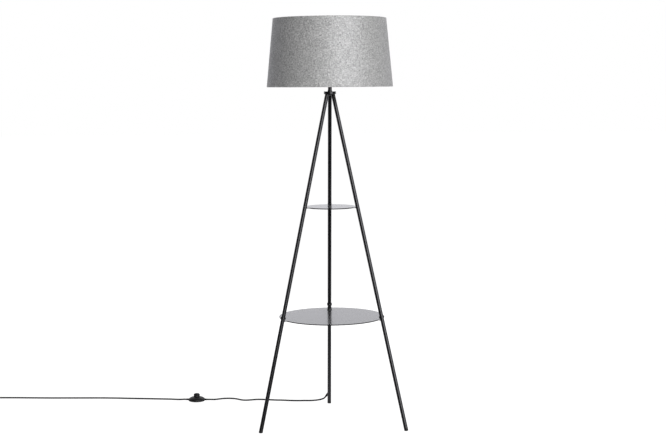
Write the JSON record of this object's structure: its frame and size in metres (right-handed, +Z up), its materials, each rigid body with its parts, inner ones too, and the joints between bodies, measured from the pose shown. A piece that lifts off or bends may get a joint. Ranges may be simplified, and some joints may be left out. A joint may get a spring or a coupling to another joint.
{
  "type": "floor lamp",
  "caption": "Tripod floor lamp: splayed tube legs joined by a hub and round shelves, a tapered linen drum shade, and a mains cord with an in-line foot switch.",
  "frame": {"origin": "on the floor, under the middle of the lamp's outline in plan, cord and switch left out", "axes": "+Z up, -Y towards the camera and between the two front legs, the third leg towards +Y"},
  "size_m": [1.7797, 0.733, 1.55],
  "materials": {
    "black_paint": "satin black powder coat",
    "shade_linen": "mottled grey woven linen",
    "shade_lining": "matt white laminated lining",
    "white_wire": "white lacquered steel",
    "black_plastic": "fine-textured black moulding",
    "cord_sheath": "smooth black PVC sheath",
    "core_insulation": "blue and brown PVC insulation",
    "white_ceramic": "glazed white porcelain",
    "white_plastic": "glossy white moulding",
    "brass_parts": "plain stamped brass",
    "bulb_diffuser": "opal white diffuser",
    "bare_steel": "zinc plated",
    "black_rubber": "matt black rubber"
  },
  "bodies": {
    "lamp": {"shade_fabric": "shade_linen", "shade_liner": "shade_lining", "shade_top_ring": "white_wire", "shade_bottom_ring": "white_wire", "shade_arms": "white_wire", "shade_fitter": "white_wire", "lampholder_cap": "black_plastic", "lampholder_body": "black_plastic", "lampholder_ring": "black_plastic", "lampholder_insert": "white_ceramic", "screw_shell": "brass_parts", "terminals": "brass_parts", "bulb_globe": "bulb_diffuser", "bulb_base": "white_plastic", "bulb_cap": "bare_steel", "neck_tube": "black_paint", "neck_collar": "black_paint", "neck_nipple": "bare_steel", "hub_lid": "black_paint", "hub_body": "black_paint", "hub_plug": "black_paint", "hub_screws": "black_paint", "leg_studs": "bare_steel", "leg_upper_rear": "black_paint", "leg_upper_left": "black_paint", "leg_upper_right": "black_paint", "coupler_rear": "black_paint", "coupler_left": "black_paint", "coupler_right": "black_paint", "coupler_screws": "bare_steel", "leg_lower_rear": "black_paint", "leg_lower_left": "black_paint", "leg_lower_right": "black_paint", "foot_rear": "black_plastic", "foot_left": "black_plastic", "foot_right": "black_plastic", "shelf_upper": "black_paint", "shelf_lower": "black_paint", "inner_cord": "cord_sheath", "core_wires": "core_insulation", "cord_relief": "black_plastic", "cord_leg_to_switch": "cord_sheath", "switch_pad": "black_rubber", "switch_base": "black_plastic", "switch_cover": "black_plastic", "switch_glands": "black_plastic", "switch_spring": "bare_steel", "switch_contacts": "white_plastic", "switch_cores": "core_insulation", "switch_screws": "bare_steel", "cord_switch_to_coil": "cord_sheath", "cord_coil": "cord_sheath", "cord_tie": "black_plastic", "cord_coil_to_plug": "cord_sheath", "plug_body": "black_plastic", "plug_pins": "bare_steel"},
    "button": {"switch_button": "black_plastic"}
  },
  "joints": [
    {"name": "foot_button", "type": "slide", "parent": "lamp", "child": "button", "axis": [0, 0, -1], "range_m": [0, 0.003], "stiffness_N_per_m": 700, "springref_m": -0.003, "deforming": ["switch_spring"]}
  ]
}
